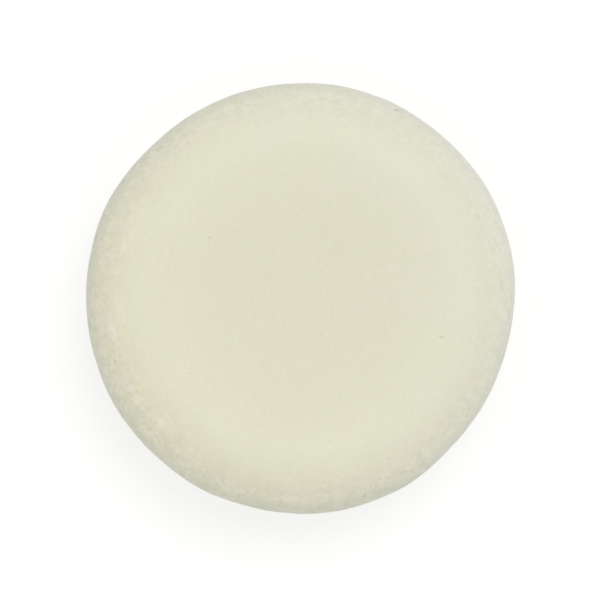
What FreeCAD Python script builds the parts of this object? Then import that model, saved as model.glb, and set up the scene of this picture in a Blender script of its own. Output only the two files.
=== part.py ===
import FreeCAD, Part

import math
import os

# A puck of shaving soap: one round piece of hard soap with soft edges and a shallow dish.
# The origin is the centre of the flat underside, and +Z points up through the face that
# the brush works. Half of an upright section is drawn in the XZ plane and turned about Z.

# Driving dimensions, in millimetres.
DIAMETER = 70.0  # across the side wall
THICKNESS = 24.0  # from the underside to the crest round the dish
SHOULDER_RADIUS = 10.0  # the broad roll from the side wall up to the crest
FOOT_RADIUS = 8.0  # the roll from the side wall down to the underside
CREST_RADIUS = 15.0  # the gentle roll from the crest down into the dish
DISH_DEPTH = 1.0  # how far the middle of the dish lies below the crest

FULL_TURN = 360.0  # degrees


def point(radius, height):
    """A point of the section, at this distance from the puck's axis."""
    return FreeCAD.Vector(radius, 0, height)


def line(start, end):
    """A straight edge of the section."""
    return Part.LineSegment(start, end).toShape()


def arc(centre, radius, start, end):
    """An edge round a centre, with 0 degrees outwards from the axis and 90 degrees up."""
    stops = []
    for degrees in (start, (start + end) / 2, end):
        angle = math.radians(degrees)
        stops.append(centre + point(radius * math.cos(angle), radius * math.sin(angle)))
    return Part.Arc(*stops).toShape()


def half_section():
    """The closed outline: out along the underside, up round the edge and in over the dish."""
    rim = DIAMETER / 2
    underside_edge = rim - FOOT_RADIUS
    crest = rim - SHOULDER_RADIUS
    wall_top = THICKNESS - SHOULDER_RADIUS

    # The dish is part of a large sphere, which touches the crest's roll from outside. The
    # distance between the two centres follows from the place of the crest and the depth.
    centre_distance = (crest**2 + DISH_DEPTH**2) / (2 * DISH_DEPTH)
    dish_radius = centre_distance - CREST_RADIUS
    dish_bottom = THICKNESS - DISH_DEPTH
    dish_slope = math.degrees(math.asin(crest / centre_distance))

    foot_centre = point(underside_edge, FOOT_RADIUS)
    shoulder_centre = point(crest, wall_top)
    crest_centre = point(crest, THICKNESS - CREST_RADIUS)
    dish_centre = point(0, dish_bottom + dish_radius)

    edges = [
        line(point(0, 0), point(underside_edge, 0)),
        arc(foot_centre, FOOT_RADIUS, -90, 0),
        line(point(rim, FOOT_RADIUS), point(rim, wall_top)),
        arc(shoulder_centre, SHOULDER_RADIUS, 0, 90),
        arc(crest_centre, CREST_RADIUS, 90, 90 + dish_slope),
        arc(dish_centre, dish_radius, dish_slope - 90, -90),
        line(point(0, dish_bottom), point(0, 0)),
    ]
    return Part.Wire(edges)


def soap_puck():
    """The half section turned once about the puck's axis."""
    return Part.Face(half_section()).revolve(point(0, 0), point(0, 1), FULL_TURN)


os.makedirs("parts", exist_ok=True)
puck = soap_puck()
puck.exportStep("parts/soap_puck.step")
print(f"soap_puck: {puck.Volume / 1000:.1f} cm3 in {len(puck.Solids)} solid, valid: {puck.isValid()}")
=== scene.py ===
import math

import bpy
import numpy as np
from mathutils import Matrix, Vector, noise


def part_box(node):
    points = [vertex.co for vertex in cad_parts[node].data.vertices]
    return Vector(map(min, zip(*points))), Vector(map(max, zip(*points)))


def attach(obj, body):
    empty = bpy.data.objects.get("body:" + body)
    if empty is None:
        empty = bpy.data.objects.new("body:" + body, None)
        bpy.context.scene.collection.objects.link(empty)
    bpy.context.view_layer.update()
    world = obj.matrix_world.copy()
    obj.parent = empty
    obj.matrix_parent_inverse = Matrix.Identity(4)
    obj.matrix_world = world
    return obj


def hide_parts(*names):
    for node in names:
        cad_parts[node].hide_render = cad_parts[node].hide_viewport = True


# A puck of cream shaving soap, lying on a pale table and seen from straight above.
# Lengths are in metres, apart from values whose names or comments say millimetres.
# Directions round the puck are in degrees, anticlockwise from +X as seen from above.
# The surface's tilt away from +Z is below 0 in the dish, 0 on the crest, 90 degrees on the
# side wall and 180 on the underside.

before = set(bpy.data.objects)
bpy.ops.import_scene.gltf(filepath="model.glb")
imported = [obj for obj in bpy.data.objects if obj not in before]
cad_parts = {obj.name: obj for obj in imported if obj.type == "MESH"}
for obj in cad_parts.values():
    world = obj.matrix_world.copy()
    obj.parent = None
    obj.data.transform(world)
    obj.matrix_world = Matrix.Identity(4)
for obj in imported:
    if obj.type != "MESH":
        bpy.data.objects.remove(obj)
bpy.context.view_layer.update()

MM = 0.001
QUARTER = math.pi / 2

# ------------------------------------------------------------------------------ sizes
# All of them follow from the CAD solid's box, in the proportions of its half section.

LOW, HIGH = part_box("soap_puck")
CAD_RIM = (HIGH.x - LOW.x) / 2
THICKNESS = HIGH.z - LOW.z
RIM = CAD_RIM - 0.40 * MM  # the mean edge: the outline's swells stay inside the CAD box
TOP = THICKNESS - 0.12 * MM  # the mean crest, for the same reason
SHOULDER = 10 / 35 * CAD_RIM
FOOT = 8 / 35 * CAD_RIM
CREST_ROLL = 15 / 35 * CAD_RIM
DISH_DEPTH = THICKNESS / 24
CREST = RIM - SHOULDER
WALL_TOP = TOP - SHOULDER

# The mesh's spacing: finest on the shoulder, where the crust's relief is.
FACE_CELL = 0.36 * MM
SHOULDER_CELL = 0.30 * MM
WALL_CELL = 0.40 * MM
FOOT_CELL = 0.42 * MM
BASE_CELL = 0.90 * MM
FEWEST_STEPS = 2  # in a stretch of the outline
FEWEST_ROUND = 6  # vertices in a ring, apart from the single ones in the middle

# ---------------------------------------------------------------- shapes of variation


def bell(x, centre, half_width):
    """A smooth bell that is 1 at its centre and 0.37 at a half-width from it."""
    return np.exp(-(((x - centre) / half_width) ** 2))


def bell_round(degrees, centre, half_width):
    """The same bell for directions, which close round the puck."""
    return bell((degrees - centre + 180) % 360 - 180, 0, half_width)


def bells_round(degrees, bells):
    """The sum of several of them, each with its direction, half-width and strength."""
    return sum(strength * bell_round(degrees, at, half) for at, half, strength in bells)


def rise(x, low, high):
    """A smooth step from 0 at low to 1 at high."""
    t = np.clip((x - low) / (high - low), 0, 1)
    return t * t * (3 - 2 * t)


def soft_noise(points, size, octaves, shift):
    """Smooth noise of about -1 to 1 at these points, with features of this size."""
    offset = Vector((shift, -shift, 2 * shift))
    return np.array([noise.fractal(Vector(p) / size + offset, 1.0, 2.0, octaves) for p in points])


# --------------------------------------------------------------- the puck's half outline


def arc_rows(centre_r, centre_z, radius, start, end, cell):
    """Rows along an arc, from one tilt to another, in radians."""
    count = max(FEWEST_STEPS, round(abs(radius * (end - start)) / cell))
    for tilt in np.linspace(start, end, count, endpoint=False):
        yield centre_r + radius * math.sin(tilt), centre_z + radius * math.cos(tilt), tilt, cell


def line_rows(start, end, tilt, cell):
    """Rows along a straight stretch of the outline."""
    count = max(FEWEST_STEPS, round(math.dist(start, end) / cell))
    for share in np.linspace(0, 1, count, endpoint=False):
        yield *(np.array(start) + share * np.subtract(end, start)), tilt, cell


def half_outline():
    """Rows of radius, height, tilt and cell, from the dish's middle round to the base's."""
    centre_distance = (CREST**2 + DISH_DEPTH**2) / (2 * DISH_DEPTH)
    dish = centre_distance - CREST_ROLL
    slope = math.asin(CREST / centre_distance)
    yield from arc_rows(0, TOP - DISH_DEPTH + dish, -dish, 0, -slope, FACE_CELL)
    yield from arc_rows(CREST, TOP - CREST_ROLL, CREST_ROLL, -slope, 0, FACE_CELL)
    yield from arc_rows(CREST, WALL_TOP, SHOULDER, 0, QUARTER, SHOULDER_CELL)
    yield from line_rows((RIM, WALL_TOP), (RIM, FOOT), QUARTER, WALL_CELL)
    yield from arc_rows(RIM - FOOT, FOOT, FOOT, QUARTER, 2 * QUARTER, FOOT_CELL)
    yield from line_rows((RIM - FOOT, 0), (0, 0), 2 * QUARTER, BASE_CELL)
    yield 0, 0, 2 * QUARTER, BASE_CELL


ROWS = np.array(list(half_outline()))
ROW_WALK = np.concatenate([[0], np.cumsum(np.hypot(*np.diff(ROWS[:, :2], axis=0).T))])
WALK_LENGTH = ROW_WALK[-1]


def walk_to(tilt_degrees):
    """The distance from the dish's middle, along the surface, out to where it tilts so."""
    steepest = ROWS[:, 2].argmin()
    return np.interp(math.radians(tilt_degrees), ROWS[steepest:, 2], ROW_WALK[steepest:])


def place(walk, degrees):
    """The point of the unworn puck at this distance along the surface, in this direction."""
    radius = np.interp(walk, ROW_WALK, ROWS[:, 0])
    height = np.interp(walk, ROW_WALK, ROWS[:, 1])
    turn = math.radians(degrees)
    return Vector((radius * math.cos(turn), radius * math.sin(turn), height))


def facing(walk, degrees, turn):
    """The rotation that lays +Z on the normal there, and +X at this turn from outwards."""
    tilt = np.interp(walk, ROW_WALK, ROWS[:, 2])
    lean = Matrix.Rotation(math.radians(degrees), 3, "Z") @ Matrix.Rotation(tilt, 3, "Y")
    return (lean @ Matrix.Rotation(math.radians(turn), 3, "Z")).to_euler()


# ------------------------------------------------ how this puck differs from the solid

EDGE_DRAW = 0.80  # how long scuffs and mottling are along the edge, for each 1 across it

# Swells and flats of the outline seen from above: direction, half-width, height in mm.
SWELLS = (
    (22, 26, 0.36),
    (71, 14, 0.24),
    (110, 14, -0.15),
    (132, 12, -0.33),
    (153, 6, 0.07),
    (195, 22, -0.08),
    (242, 9, 0.15),
    (276, 16, 0.37),
    (299, 7, 0.22),
    (318, 14, -0.31),
    (342, 14, -0.38),
)
SWELL_DRIFT = 20  # degrees that they turn by, over the puck's whole height

# Pores and flecks in the soap: distance along the surface from the dish's middle and
# direction, then length and width in mm, the turn of the length from straight outwards,
# strength, and depth in mm.
FLECKS = (
    (17.2, 146.5, 0.50, 0.40, -55, 0.20, 0.06),
    (23.3, 344.5, 0.85, 0.35, 15, 0.24, 0.06),
    (36.2, 62.8, 1.90, 0.45, -22, 0.34, 0.06),
    (32.0, 199.0, 0.60, 0.50, 55, 0.23, 0.08),
    (35.0, 288.0, 0.75, 0.60, 105, 0.34, 0.08),
    (21.3, 214.5, 1.00, 0.25, -30, 0.10, 0.03),
    (19.0, 243.0, 1.60, 0.25, -60, 0.06, 0.03),
    (23.3, 281.5, 0.40, 0.35, 0, 0.08, 0.04),
    (6.4, 162.0, 0.50, 0.35, 20, 0.07, 0.04),
    (6.8, 301.0, 0.75, 0.60, 60, 0.06, 0.00),
    (43.2, 12.0, 0.60, 0.35, 70, 0.28, 0.08),
    (48.5, 47.0, 0.50, 0.45, 0, 0.25, 0.12),
    (40.5, 95.0, 0.45, 0.40, 0, 0.22, 0.10),
    (41.5, 118.0, 1.10, 0.30, 80, 0.22, 0.05),
    (46.0, 157.0, 0.55, 0.40, 40, 0.25, 0.10),
    (52.0, 204.0, 0.55, 0.45, 0, 0.28, 0.12),
    (39.5, 222.0, 0.80, 0.30, 65, 0.18, 0.05),
    (45.0, 251.0, 0.45, 0.40, 0, 0.30, 0.10),
    (42.0, 309.0, 0.50, 0.40, 20, 0.25, 0.10),
    (50.5, 335.0, 0.65, 0.40, 85, 0.24, 0.08),
)

# Pale, dry patches on the edges: direction, half-width, tilt and half-width in degrees,
# then strength.
PATCHES = (
    (28, 12, 28, 11, 0.24),
    (4, 8, 38, 12, 0.35),
    (52, 14, 40, 12, 0.30),
    (88, 20, 40, 8, 0.35),
    (116, 8, 40, 7, 0.35),
    (129, 8, 49, 6, 0.26),
    (151, 6, 25, 8, 0.30),
    (158, 5, 18, 7, 0.22),
    (163, 5, 26, 8, 0.27),
    (167, 4, 58, 6, 0.40),
    (172, 24, 30, 10, 0.23),
    (176, 2, 16, 4, 0.22),
    (184, 4, 24, 8, 0.42),
    (191, 4, 35, 6, 0.40),
    (210, 6, 38, 6, 0.32),
    (214, 26, 33, 9, 0.28),
    (223, 3, 31, 5, 0.26),
    (232, 5, 22, 7, 0.20),
    (246, 8, 44, 4, 0.35),
    (272, 12, 46, 4, 0.35),
    (291, 7, 40, 6, 0.38),
    (14, 9, 122, 16, 0.55),
    (66, 6, 136, 12, 0.60),
    (121, 12, 128, 14, 0.50),
    (187, 7, 118, 12, 0.65),
    (233, 11, 134, 12, 0.55),
    (318, 10, 126, 16, 0.60),
)

# Shallow dents from handling: distance along the surface, direction, radius and depth in mm.
DENTS = (
    (33.0, 318.0, 3.2, 0.16),
    (37.5, 149.0, 2.4, 0.14),
    (43.0, 72.0, 2.6, 0.15),
    (46.5, 262.0, 3.4, 0.18),
    (51.0, 18.0, 2.2, 0.16),
    (49.0, 196.0, 2.8, 0.16),
    (38.0, 231.0, 2.0, 0.12),
    (28.5, 98.0, 3.0, 0.08),
)

# The sides that have aged most, where the pale film is partly painted light on the upper right and
# the flush is partly painted shade on the left and the bottom: direction, half-width, strength.
WORN_SIDES = ((215, 85, 0.52),)
FILMED_AND_LIT_SIDES = ((12, 38, 0.95), (64, 45, 0.50), (205, 32, 0.25), (322, 14, 0.30))
FLUSHED_AND_SHADED_SIDES = ((183, 44, 0.90), (268, 38, 0.60))
RIDGED_SIDES = ((225, 70, 1.0),)
LEAST_WEAR = 0.52
LEAST_FLUSH_AND_SHADE = 0.06

# Ageing, painted light and painted shade across the edge, in degrees of tilt: where it sets in and
# is full, where it begins to ease and has eased, or the middle and half-width of a band.
WEAR_SETS_IN = (9, 58)
WEAR_EASES = (72, 105)
FILM_AND_LIGHT_SETS_IN = (20, 62)
FILM_AND_LIGHT_EASES = (82, 125)
SHOULDER_FLUSH_AND_SHADE = (38, 18)
FOOT_FLUSH = (130, 25)
RIDGE = (52, 4)
WEAR_EASED = 0.55  # the share that is gone once it has eased
FILM_AND_LIGHT_EASED = 0.6
FOOT_FLUSH_STRENGTH = 0.3
CRUST_SETS_IN = (0.08, 1.0)  # strengths at which the patches begin to cover and are full

# Soft noise: the size of its features, octaves, and a shift that keeps each one apart.
WEAR_NOISE = (3.5 * MM, 2, 17.0)
REACH_NOISE = (5 * MM, 2, 29.0)
CRUST_NOISE = (1.6 * MM, 3, 3.0)
GRIT_NOISE = (1.3 * MM, 3, 21.0)
FACE_NOISE = (13 * MM, 2, 5.0)
SIDE_NOISE = (9 * MM, 3, 8.0)
UNEVENNESS = 0.7  # how far noise thins and thickens the wear and the patches
REACH = 14  # degrees of tilt by which noise moves the place where wear sets in

# Heights of the relief.
CRUST_HEIGHT = 0.06 * MM
RIDGE_HEIGHT = 0.05 * MM
GRIT_HEIGHT = 0.025 * MM
FACE_HEIGHT = 0.05 * MM
SIDE_HEIGHT = 0.10 * MM
FLAT_FROM = 150  # degrees of tilt, beyond which there is no grit and no face noise


def swell(degrees, height):
    """How far the outline stands out of round, in metres. It drifts a little with height."""
    drift = SWELL_DRIFT * (WALL_TOP - height) / THICKNESS
    return bells_round(degrees + drift, SWELLS) * MM


def edge_wear(degrees, over, along):
    """How far handling has roughened the soap, from 0 to about 1: most at the lower left."""
    side = LEAST_WEAR + bells_round(degrees, WORN_SIDES)
    uneven = 1 + UNEVENNESS * soft_noise(along, *WEAR_NOISE)
    reach = over + REACH * soft_noise(along, *REACH_NOISE)
    eased = 1 - WEAR_EASED * rise(over, *WEAR_EASES)
    return rise(reach, *WEAR_SETS_IN) * eased * side * uneven


def dry_film_and_light(degrees, over):
    """Where a thin pale film has dried on the soap, from 0 to 1: most on the right, where it is
    partly painted light.
    """
    eased = 1 - FILM_AND_LIGHT_EASED * rise(over, *FILM_AND_LIGHT_EASES)
    return rise(over, *FILM_AND_LIGHT_SETS_IN) * eased * bells_round(degrees, FILMED_AND_LIT_SIDES)


def edge_flush_and_shade(degrees, over):
    """Where the soap has browned a little and is darkened as painted shade, from 0 to 1: a band on
    the shoulder's shaded half.
    """
    side = LEAST_FLUSH_AND_SHADE + bells_round(degrees, FLUSHED_AND_SHADED_SIDES)
    return bell(over, *SHOULDER_FLUSH_AND_SHADE) * side + FOOT_FLUSH_STRENGTH * bell(over, *FOOT_FLUSH)


def crust_cover(degrees, over, along):
    """How thickly the pale patches lie, from 0 to 1, with ragged edges."""
    patches = sum(
        strength * bell_round(degrees, at, half) * bell(over, tilt, spread)
        for at, half, tilt, spread, strength in PATCHES
    )
    ragged = 1 + UNEVENNESS * soft_noise(along, *CRUST_NOISE)
    return rise(patches * ragged, *CRUST_SETS_IN)


def relief(points, degrees, over, along, crust, wear):
    """How far the surface stands out from the plain one, in metres."""
    ridge = bell(over, *RIDGE) * bells_round(degrees, RIDGED_SIDES)
    side = np.clip(np.sin(np.radians(over)), 0, 1)
    above = over < FLAT_FROM
    lift = CRUST_HEIGHT * crust + RIDGE_HEIGHT * ridge
    lift += GRIT_HEIGHT * wear * above * soft_noise(along, *GRIT_NOISE)
    lift += FACE_HEIGHT * soft_noise(points, *FACE_NOISE) * above
    lift += SIDE_HEIGHT * soft_noise(points, *SIDE_NOISE) * side
    pores = [(walk, at, (long + wide) / 2, depth) for walk, at, long, wide, _, _, depth in FLECKS]
    for walk, at, half, depth in [*DENTS, *pores]:
        distance = np.linalg.norm(points - np.array(place(walk * MM, at)), axis=1)
        lift -= depth * MM * bell(distance, 0, half * MM)
    return lift


# ---------------------------------------------------------------------- the puck's mesh


def mesh_rings():
    """Each vertex's row in ROWS and its angle, ring after ring from the dish's middle."""
    for ring, (radius, _, _, cell) in enumerate(ROWS):
        single = radius < cell / 2
        count = 1 if single else max(FEWEST_ROUND, round(2 * math.pi * radius / cell))
        shift = ring % 2 / 2
        for i in range(count):
            yield ring, 2 * math.pi * (i + shift) / count


def puck_surface():
    """The worn puck's vertices and their rings, and the values that its colours follow."""
    ring, angle = np.array(list(mesh_rings())).T
    ring = ring.astype(int)
    radius, height, tilt, _ = ROWS[ring].T
    degrees = np.degrees(angle)
    over = np.degrees(tilt)

    outward = np.column_stack([np.cos(angle), np.sin(angle), np.zeros_like(angle)])
    up = np.array([0, 0, 1])
    normal = outward * np.sin(tilt)[:, None] + up * np.cos(tilt)[:, None]
    grown = radius + swell(degrees, height) * (radius / RIM) ** 3
    points = outward * grown[:, None] + up * height[:, None]

    # The space of scuffs and mottling: the puck's own plan, drawn out to shorten them round
    # the edge, with the distance along the surface as its height.
    along = outward * radius[:, None] / EDGE_DRAW + up * ROW_WALK[ring][:, None]
    crust = crust_cover(degrees, over, along)
    wear = edge_wear(degrees, over, along)
    points += normal * relief(points, degrees, over, along, crust, wear)[:, None]
    points[:, 2] = np.clip(points[:, 2], 0, THICKNESS)
    values = {
        "walk": ROW_WALK[ring] / WALK_LENGTH,
        "wear": wear,
        "film_and_light": dry_film_and_light(degrees, over),
        "flush_and_shade": edge_flush_and_shade(degrees, over),
        "crust": crust,
    }
    return points, ring, along, values


def zip_rings(first, second, shifts):
    """Triangles between two rings of evenly spaced vertices, shifted by shares of a space."""
    i = j = 0
    while i < len(first) or j < len(second):
        next_i = (i + 1 + shifts[0]) / len(first)
        next_j = (j + 1 + shifts[1]) / len(second)
        here = (first[i % len(first)], second[j % len(second)])
        if j == len(second) or (i < len(first) and next_i <= next_j):
            i += 1
            yield *here, first[i % len(first)]
        else:
            j += 1
            yield *here, second[j % len(second)]


def smooth_mesh(name, points, faces):
    """A smoothly shaded mesh."""
    mesh = bpy.data.meshes.new(name)
    mesh.from_pydata(points, [], faces)
    mesh.polygons.foreach_set("use_smooth", [True] * len(mesh.polygons))
    return mesh


def add_object(name, data):
    """A new object in the scene, made from this mesh, light or camera."""
    made = bpy.data.objects.new(name, data)
    bpy.context.scene.collection.objects.link(made)
    return made


def build_puck():
    """The soap, with an attribute for each value that its material reads."""
    points, ring, along, values = puck_surface()
    rings = np.split(np.arange(len(ring)), np.flatnonzero(np.diff(ring)) + 1)
    faces = []
    for number, (first, second) in enumerate(zip(rings, rings[1:])):
        shifts = (number % 2 / 2, (number + 1) % 2 / 2)
        faces += [face for face in zip_rings(first, second, shifts) if len(set(face)) == 3]
    faces = [tuple(int(vertex) for vertex in face) for face in faces]
    mesh = smooth_mesh("soap_puck_visual", points.tolist(), faces)
    for name, value in values.items():
        mesh.attributes.new(name, "FLOAT", "POINT").data.foreach_set("value", value)
    vectors = mesh.attributes.new("along", "FLOAT_VECTOR", "POINT")
    vectors.data.foreach_set("vector", along.ravel())
    return add_object("soap", mesh)


# -------------------------------------------------------------------------- materials

SHARE = (0.0, 1.0)
WHITE = (1.0, 1.0, 1.0)


class Material:
    """A node material, with short ways to add the nodes that this scene uses."""

    def __init__(self, name):
        self.data = bpy.data.materials.new(name)
        self.data.use_nodes = True
        self.tree = self.data.node_tree
        self.shader = self.tree.nodes["Principled BSDF"]

    def put(self, socket, value):
        """Sets an input to a value, or links another node's output to it."""
        if isinstance(value, bpy.types.NodeSocket):
            self.tree.links.new(value, socket)
        elif isinstance(value, tuple) and len(value) == 3 and socket.type == "RGBA":
            socket.default_value = (*value, 1)
        else:
            socket.default_value = value

    def node(self, kind, *values, **settings):
        """Adds a node, sets it, and gives its first inputs these values or other nodes' outputs."""
        made = self.tree.nodes.new("ShaderNode" + kind)
        for name, value in settings.items():
            setattr(made, name, value)
        for socket, value in zip([s for s in made.inputs if s.enabled], values):
            self.put(socket, value)
        return made

    def coordinates(self):
        return self.node("TexCoord").outputs["Object"]

    def attribute(self, name, output="Fac"):
        return self.node("Attribute", attribute_name=name).outputs[output]

    def calculate(self, operation, *values):
        return self.node("Math", *values, operation=operation).outputs[0]

    def vector(self, operation, output, *values):
        return self.node("VectorMath", *values, operation=operation).outputs[output]

    def stretch(self, value, old, new):
        """Moves a value from one range to another."""
        return self.node("MapRange", value, *old, *new).outputs["Result"]

    def rise(self, value, low, high):
        """A smooth step from 0 at low to 1 at high."""
        made = self.node("MapRange", value, low, high, *SHARE, interpolation_type="SMOOTHSTEP")
        return made.outputs["Result"]

    def pattern(self, kind, where=None):
        """One of the patterns below, from 0 to 1."""
        size, detail, roughness, low, high = kind
        made = self.node("TexNoise", where or self.coordinates())
        made.inputs["Scale"].default_value = 1 / size
        made.inputs["Detail"].default_value = detail
        made.inputs["Roughness"].default_value = roughness
        return self.rise(made.outputs["Fac"], low, high)

    def mix(self, share, first, second, blend="MIX"):
        """Mixes two colours, by a share from 0 to 1."""
        made = self.node("Mix", data_type="RGBA", blend_type=blend)
        factor, a, b = (s for s in made.inputs if s.enabled)
        self.put(factor, share)
        self.put(a, first)
        self.put(b, second)
        return next(s for s in made.outputs if s.enabled)

    def tint(self, colour, share, tints):
        """A colour multiplied by a near white that goes from one tint to the other."""
        return self.mix(1.0, colour, self.mix(share, *tints), "MULTIPLY")

    def finish(self, **values):
        """Sets the shader's own inputs, by their names."""
        for name, value in values.items():
            self.put(self.shader.inputs[name.replace("_", " ")], value)


# The soap's colour along its surface, darker from the steep shoulder to the wall top partly as the
# soap's greener rim and partly as painted shade: distance from the dish's middle, and linear RGB.
TONES_AND_RIM_SHADE = (
    (0.0, (0.683, 0.669, 0.520)),
    (10 * MM, (0.683, 0.669, 0.519)),
    (16 * MM, (0.688, 0.675, 0.523)),
    (22 * MM, (0.701, 0.690, 0.538)),
    (walk_to(0), (0.704, 0.697, 0.547)),
    (walk_to(14), (0.698, 0.690, 0.542)),
    (walk_to(24), (0.686, 0.678, 0.531)),
    (walk_to(36), (0.662, 0.653, 0.516)),
    # From here to the wall top the colour darkens, partly the soap's greener rim and partly painted
    # shade.
    (walk_to(52), (0.633, 0.625, 0.498)),
    (walk_to(64), (0.584, 0.581, 0.474)),
    (walk_to(78), (0.550, 0.551, 0.458)),
    (walk_to(90), (0.574, 0.570, 0.463)),
    (walk_to(90) + 2 * MM, (0.620, 0.609, 0.484)),
    (walk_to(120), (0.642, 0.631, 0.500)),
    (walk_to(150), (0.660, 0.648, 0.510)),
    (walk_to(180), (0.672, 0.658, 0.512)),
)
PALE_SIDE = (0.9, 0.43, 0.0)  # the way to the side that is least yellow
CRUST_COLOUR = (0.79, 0.78, 0.69)
FLECK_COLOUR = (0.19, 0.17, 0.05)

# Patterns: the size of the noise's features, its detail and roughness, and the noise at
# which the pattern is 0 and 1.
CLOUDS = (9 * MM, 2, 0.5, 0.35, 0.65)
GRAIN = (0.6 * MM, 4, 0.65, 0.25, 0.75)
BLUSH = (2.0 * MM, 4, 0.6, 0.35, 0.65)
GRIT = (1.1 * MM, 4, 0.6, 0.3, 0.7)
MOTTLE = (2.3 * MM, 2, 0.6, 0.35, 0.65)

# What the colour is multiplied by where each pattern is 0 and where it is 1.
SIDE_TINTS = ((1.0, 1.0, 0.972), (1.0, 1.0, 1.028))
CLOUD_TINTS = ((0.997, 0.998, 0.992), (1.003, 1.002, 1.008))
GRAIN_TINTS = ((0.978, 0.978, 0.972), (1.022, 1.022, 1.028))
BLUSH_AND_SHADE_TINTS = ((0.994, 0.996, 0.980), (1.048, 0.982, 1.006))
GRIT_TINTS = ((0.945, 0.946, 0.930), (1.055, 1.054, 1.070))
MOTTLE_TINTS = ((0.953, 0.961, 0.940), (1.047, 1.039, 1.050))

# How much the film, partly painted light, and the crust hide the soap, in the hollows of the grit
# and on top of it.
FILM_AND_LIGHT_HIDES = (0.24, 0.36)
CRUST_HIDES = (0.3, 0.7)

FLECK_EDGE = (1.25, 0.55)  # where a fleck begins and is full, in half-lengths from its middle
FLECK_REACH = 0.8 * MM  # how far it reaches in from the surface
SOAP_ROUGHNESS = 0.50
CRUST_ROUGHNESS = 0.3  # how much the crust, wear and grain each add to the soap's own
WEAR_ROUGHNESS = 0.08
GRAIN_ROUGHNESS = 0.06
GRAIN_BUMP = 0.25  # the grain's height, for each 1 of the grit's
BUMP_HEIGHT = 0.05 * MM
BUMP_STRENGTH = 0.5


def fleck_cover(soap):
    """1 on the flecks and pores, 0 elsewhere."""
    cover = 0.0
    for walk, at, length, width, turn, strength, _ in FLECKS:
        spot = soap.node("Mapping", soap.coordinates(), vector_type="TEXTURE")
        spot.inputs["Location"].default_value = place(walk * MM, at)
        spot.inputs["Rotation"].default_value = facing(walk * MM, at, turn)
        spot.inputs["Scale"].default_value = (length * MM / 2, width * MM / 2, FLECK_REACH)
        distance = soap.vector("LENGTH", "Value", spot.outputs[0])
        inside = soap.calculate("MULTIPLY", soap.rise(distance, *FLECK_EDGE), strength)
        cover = soap.calculate("MAXIMUM", cover, inside)
    return cover


def soap_tone_and_rim_shade(soap):
    """The soap's colour, which changes from the dish to the wall, with painted shade on the steep
    shoulder.
    """
    ramp = soap.node("ValToRGB", soap.attribute("walk"))
    stops = ramp.color_ramp.elements
    stops.remove(stops[1])
    stops[0].color = (*TONES_AND_RIM_SHADE[0][1], 1)
    for distance, colour in TONES_AND_RIM_SHADE[1:]:
        stops.new(distance / WALK_LENGTH).color = (*colour, 1)
    return ramp.outputs["Color"]


def soap_material():
    """Waxy cream soap, gritty at its edge and darker there, partly as painted shade, where pale
    film and crust have dried; the film is partly painted light.
    """
    soap = Material("cured_soap")
    side = soap.vector("DOT_PRODUCT", "Value", soap.coordinates(), PALE_SIDE)
    grain = soap.pattern(GRAIN)
    tone = soap.tint(soap_tone_and_rim_shade(soap), soap.stretch(side, (-RIM, RIM), SHARE), SIDE_TINTS)
    tone = soap.tint(tone, soap.pattern(CLOUDS), CLOUD_TINTS)
    tone = soap.tint(tone, grain, GRAIN_TINTS)

    along = soap.attribute("along", "Vector")
    # The flush tints the shoulder pink-brown and darkens its shaded half as painted shade.
    blushed_and_shaded = soap.tint(tone, soap.pattern(BLUSH, along), BLUSH_AND_SHADE_TINTS)
    tone = soap.mix(soap.attribute("flush_and_shade"), tone, blushed_and_shaded)

    wear = soap.attribute("wear")
    grit = soap.pattern(GRIT, along)
    gritty = soap.tint(tone, grit, GRIT_TINTS)
    gritty = soap.tint(gritty, soap.pattern(MOTTLE, along), MOTTLE_TINTS)
    tone = soap.mix(wear, tone, gritty)

    # The film pales the edge, partly a dried film and partly painted light on the lit upper right.
    film_and_light = soap.stretch(grit, SHARE, FILM_AND_LIGHT_HIDES)
    film_and_light = soap.calculate("MULTIPLY", soap.attribute("film_and_light"), film_and_light)
    crust = soap.stretch(grit, SHARE, CRUST_HIDES)
    crust = soap.calculate("MULTIPLY", soap.attribute("crust"), crust)
    tone = soap.mix(soap.calculate("MAXIMUM", film_and_light, crust), tone, CRUST_COLOUR)
    tone = soap.mix(fleck_cover(soap), tone, FLECK_COLOUR)

    roughness = SOAP_ROUGHNESS
    added = ((crust, CRUST_ROUGHNESS), (wear, WEAR_ROUGHNESS), (grain, GRAIN_ROUGHNESS))
    for share, more in added:
        roughness = soap.calculate("ADD", roughness, soap.calculate("MULTIPLY", share, more))

    bump = soap.node("Bump")
    bump.inputs["Strength"].default_value = BUMP_STRENGTH
    bump.inputs["Distance"].default_value = BUMP_HEIGHT
    fine = soap.calculate("MULTIPLY", grain, GRAIN_BUMP)
    coarse = soap.calculate("MULTIPLY", grit, wear)
    soap.put(bump.inputs["Height"], soap.calculate("ADD", fine, coarse))

    soap.finish(Base_Color=tone, Roughness=roughness, Normal=bump.outputs["Normal"])
    soap.finish(IOR=1.46, Specular_IOR_Level=0.35)
    soap.finish(Subsurface_Weight=0.2, Subsurface_Radius=(1.0, 0.75, 0.45), Subsurface_Scale=2 * MM)
    return soap.data


BACKDROP_GLOW = 0.6  # the share of its brightness that is its own


def backdrop_material():
    """Plain white acrylic that glows a little, so that it stays pale right up to the puck."""
    backdrop = Material("lit_acrylic")
    backdrop.finish(Base_Color=(1 - BACKDROP_GLOW,) * 3, Roughness=0.9, Specular_IOR_Level=0.0)
    backdrop.finish(Emission_Color=WHITE, Emission_Strength=BACKDROP_GLOW)
    return backdrop.data


# ----------------------------------------------------------- backdrop, light and camera

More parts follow.
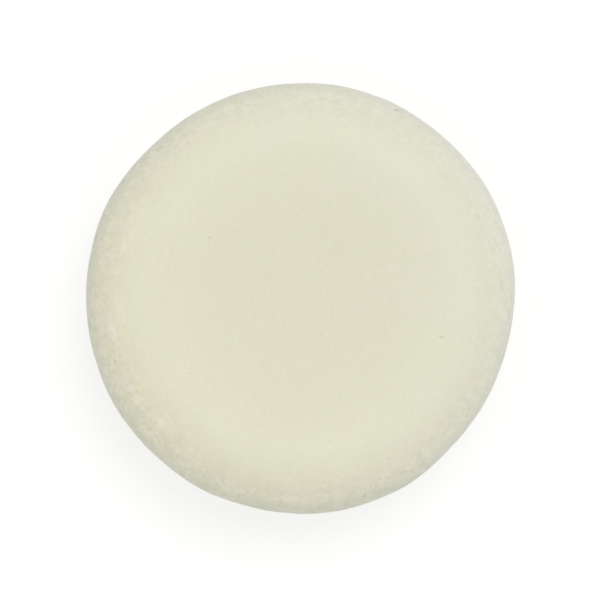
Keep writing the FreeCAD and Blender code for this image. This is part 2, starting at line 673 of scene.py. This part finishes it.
LIGHT_LEVEL = 1.06  # the light that falls on a level surface, as the brightness of white paper
KEY_SHARE = 0.21  # the share of it that comes from the key light
KEY_AZIMUTH = 62  # degrees
KEY_ELEVATION = 65  # degrees
KEY_SPREAD = 30  # degrees across
SWEEP_RADIUS = 2.2
SWEEP_BEND = 0.5
SWEEP_HEIGHT = 0.9
SWEEP_SIDES = 96
SWEEP_STEPS = 10  # in the bend from the floor up to the wall
FLOOR_GAP = 0.01 * MM  # keeps the floor and the flat underside from being one plane
VIEW_DISTANCE = 0.6
VIEW_WIDTH = 1.4 * 2 * RIM
VIEW_OFFSET = -0.0054 * 2 * RIM  # the puck stands a little above the middle of the view


def build_backdrop():
    """A pale floor that sweeps up into a low wall all round, out of the key light's way."""
    bend = [QUARTER * step / SWEEP_STEPS for step in range(SWEEP_STEPS + 1)]
    outline = [
        (SWEEP_RADIUS - SWEEP_BEND * (1 - math.sin(tilt)), SWEEP_BEND * (1 - math.cos(tilt)))
        for tilt in bend
    ]
    outline.append((SWEEP_RADIUS, SWEEP_HEIGHT))
    turns = [2 * math.pi * step / SWEEP_SIDES for step in range(SWEEP_SIDES)]
    points = [
        (radius * math.cos(turn), radius * math.sin(turn), height - FLOOR_GAP)
        for radius, height in outline
        for turn in turns
    ]
    faces = [tuple(range(SWEEP_SIDES))]
    for row in range(len(outline) - 1):
        for side in range(SWEEP_SIDES):
            after = (side + 1) % SWEEP_SIDES
            low, high = row * SWEEP_SIDES, (row + 1) * SWEEP_SIDES
            faces.append((low + side, high + side, high + after, low + after))
    mesh = smooth_mesh("backdrop", points, faces)
    mesh.materials.append(backdrop_material())
    backdrop = add_object("backdrop", mesh)


def build_light():
    """An even white surround, and a large soft key light high at the upper right."""
    world = bpy.data.worlds.new("studio")
    world.use_nodes = True
    surround = world.node_tree.nodes["Background"]
    surround.inputs["Color"].default_value = (*WHITE, 1)
    surround.inputs["Strength"].default_value = LIGHT_LEVEL * (1 - KEY_SHARE)
    bpy.context.scene.world = world

    azimuth, elevation = math.radians(KEY_AZIMUTH), math.radians(KEY_ELEVATION)
    level = math.cos(elevation)
    towards = Vector((level * math.cos(azimuth), level * math.sin(azimuth), math.sin(elevation)))
    key = bpy.data.lights.new("key", "SUN")
    key.energy = LIGHT_LEVEL * KEY_SHARE * math.pi / math.sin(elevation)
    key.angle = math.radians(KEY_SPREAD)
    add_object("key", key).rotation_euler = towards.to_track_quat("Z", "Y").to_euler()


def build_camera():
    """Straight above the puck, with a long lens."""
    lens = bpy.data.cameras.new("camera")
    lens.lens = lens.sensor_width * VIEW_DISTANCE / VIEW_WIDTH
    camera = add_object("camera", lens)
    camera.location = (0, VIEW_OFFSET, WALL_TOP + VIEW_DISTANCE)
    bpy.context.scene.camera = camera


puck = build_puck()
puck.data.materials.append(soap_material())
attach(puck, "root")
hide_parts("soap_puck")

build_backdrop()
build_light()
build_camera()
bpy.context.scene.view_settings.view_transform = "Standard"
